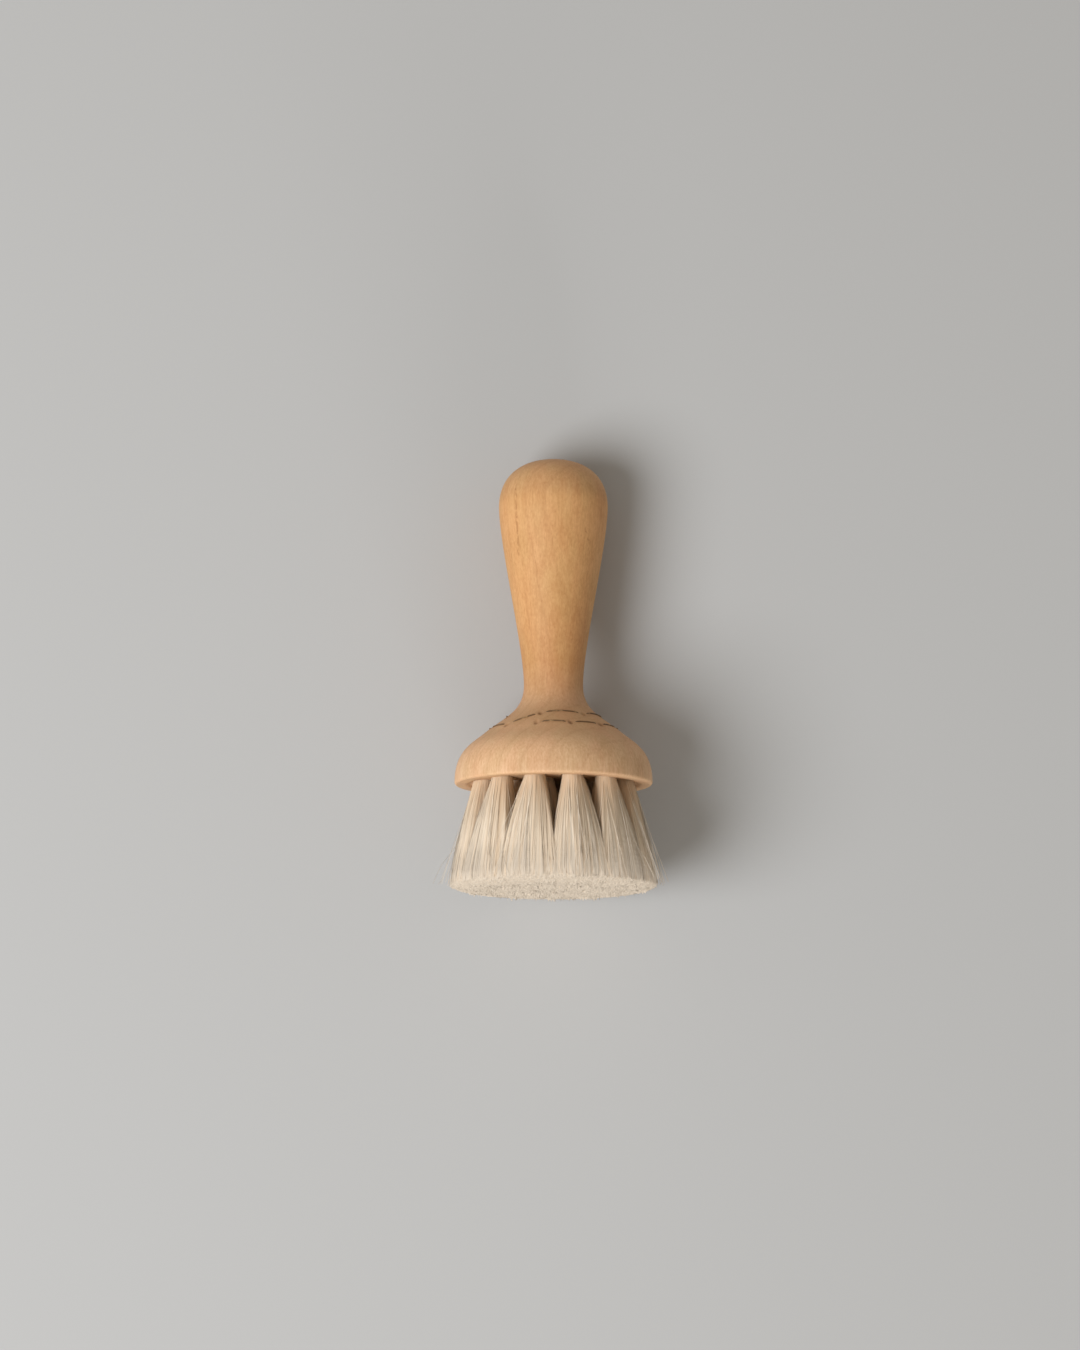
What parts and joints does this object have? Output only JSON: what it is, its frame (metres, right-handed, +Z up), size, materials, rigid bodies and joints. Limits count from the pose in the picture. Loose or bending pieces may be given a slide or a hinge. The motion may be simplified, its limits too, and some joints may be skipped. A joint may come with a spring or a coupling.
{
  "type": "face brush",
  "caption": "Turned wooden face brush with a knob-ended handle, a flared round head and soft splayed hair tufts drawn into the head by wire.",
  "frame": {"origin": "on the floor, under the middle of the lying brush's bounding box", "axes": "+Z up; +Y along the floor from the hair towards the end of the handle; +X across the brush, to the right when seen from above with the handle pointing up"},
  "size_m": [0.052, 0.1126, 0.0545],
  "materials": {
    "birch": "satin",
    "hair": "matte",
    "wire": "satin"
  },
  "bodies": {
    "root": {"turned_handle": "birch", "drawing_wire": "wire", "outer_hair": "hair", "inner_hair": "hair", "outer_tuft_fold_01": "hair", "outer_tuft_fold_02": "hair", "outer_tuft_fold_03": "hair", "outer_tuft_fold_04": "hair", "outer_tuft_fold_05": "hair", "outer_tuft_fold_06": "hair", "outer_tuft_fold_07": "hair", "outer_tuft_fold_08": "hair", "outer_tuft_fold_09": "hair", "outer_tuft_fold_10": "hair", "outer_tuft_fold_11": "hair", "outer_tuft_fold_12": "hair", "inner_tuft_fold_01": "hair", "inner_tuft_fold_02": "hair", "inner_tuft_fold_03": "hair", "inner_tuft_fold_04": "hair", "inner_tuft_fold_05": "hair", "inner_tuft_fold_06": "hair", "inner_tuft_fold_07": "hair"}
  },
  "joints": []
}
